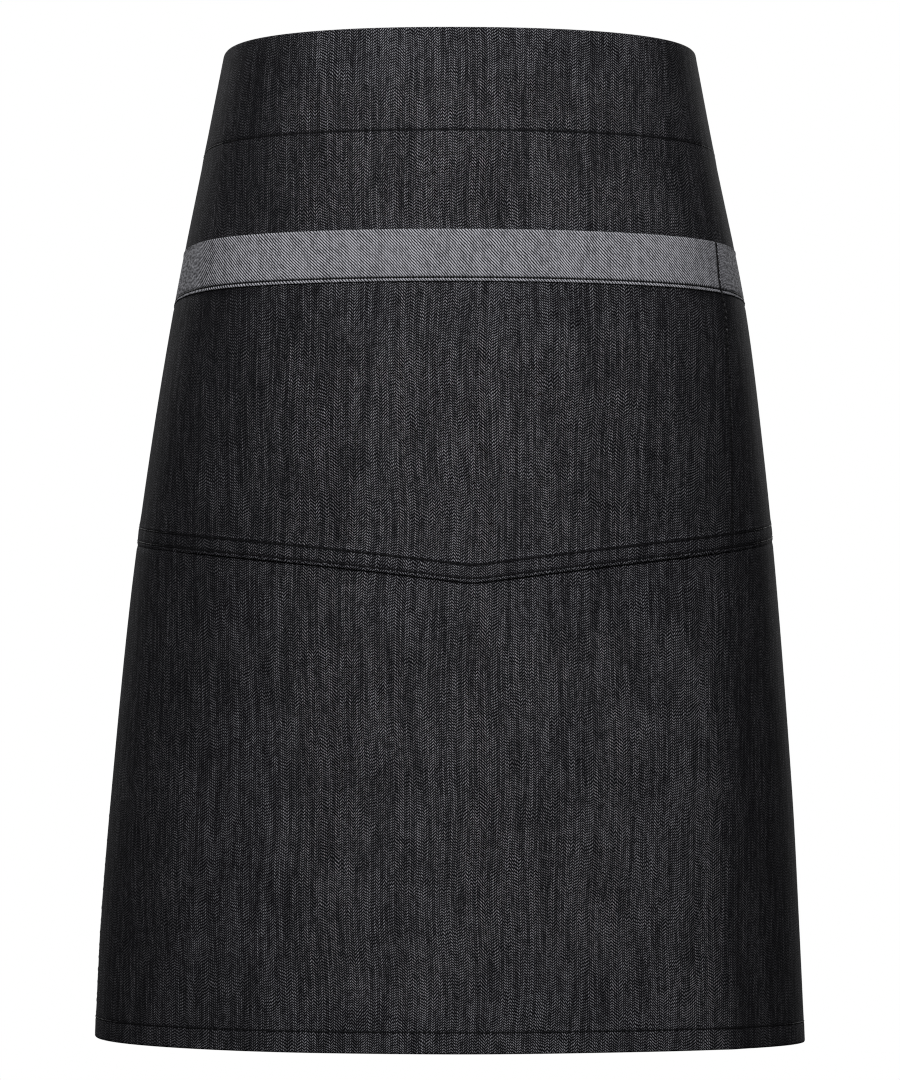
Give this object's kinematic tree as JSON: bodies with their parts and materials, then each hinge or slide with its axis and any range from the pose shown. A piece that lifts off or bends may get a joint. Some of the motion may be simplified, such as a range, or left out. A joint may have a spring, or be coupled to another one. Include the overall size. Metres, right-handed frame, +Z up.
{
  "type": "waist apron",
  "caption": "Denim waist apron in its worn form, with a wide pocket under a light turned-out band, a turned-down waist facing, a narrow hem and ties knotted at the back.",
  "frame": {"origin": "centre of the waist loop, at the height of the knot", "axes": "+Z up the wearer, -Y to the front of the apron, +X to the right in the picture"},
  "size_m": [0.3576, 0.2287, 0.5036],
  "materials": {
    "denim": "black denim twill with pale flecks in its grain, matt",
    "band_denim": "pale reverse side of the denim, grey diagonal twill, matt",
    "tie_cloth": "black denim strap, matt"
  },
  "bodies": {
    "root": {"skirt_panel": "denim", "waist_facing": "denim", "bottom_hem": "denim", "side_hem_left": "denim", "side_hem_right": "denim", "pocket_panel": "denim", "pocket_band": "band_denim", "tie_left": "tie_cloth", "tie_right": "tie_cloth", "tie_knot": "tie_cloth", "tie_tail_left": "tie_cloth", "tie_tail_right": "tie_cloth"}
  },
  "joints": []
}
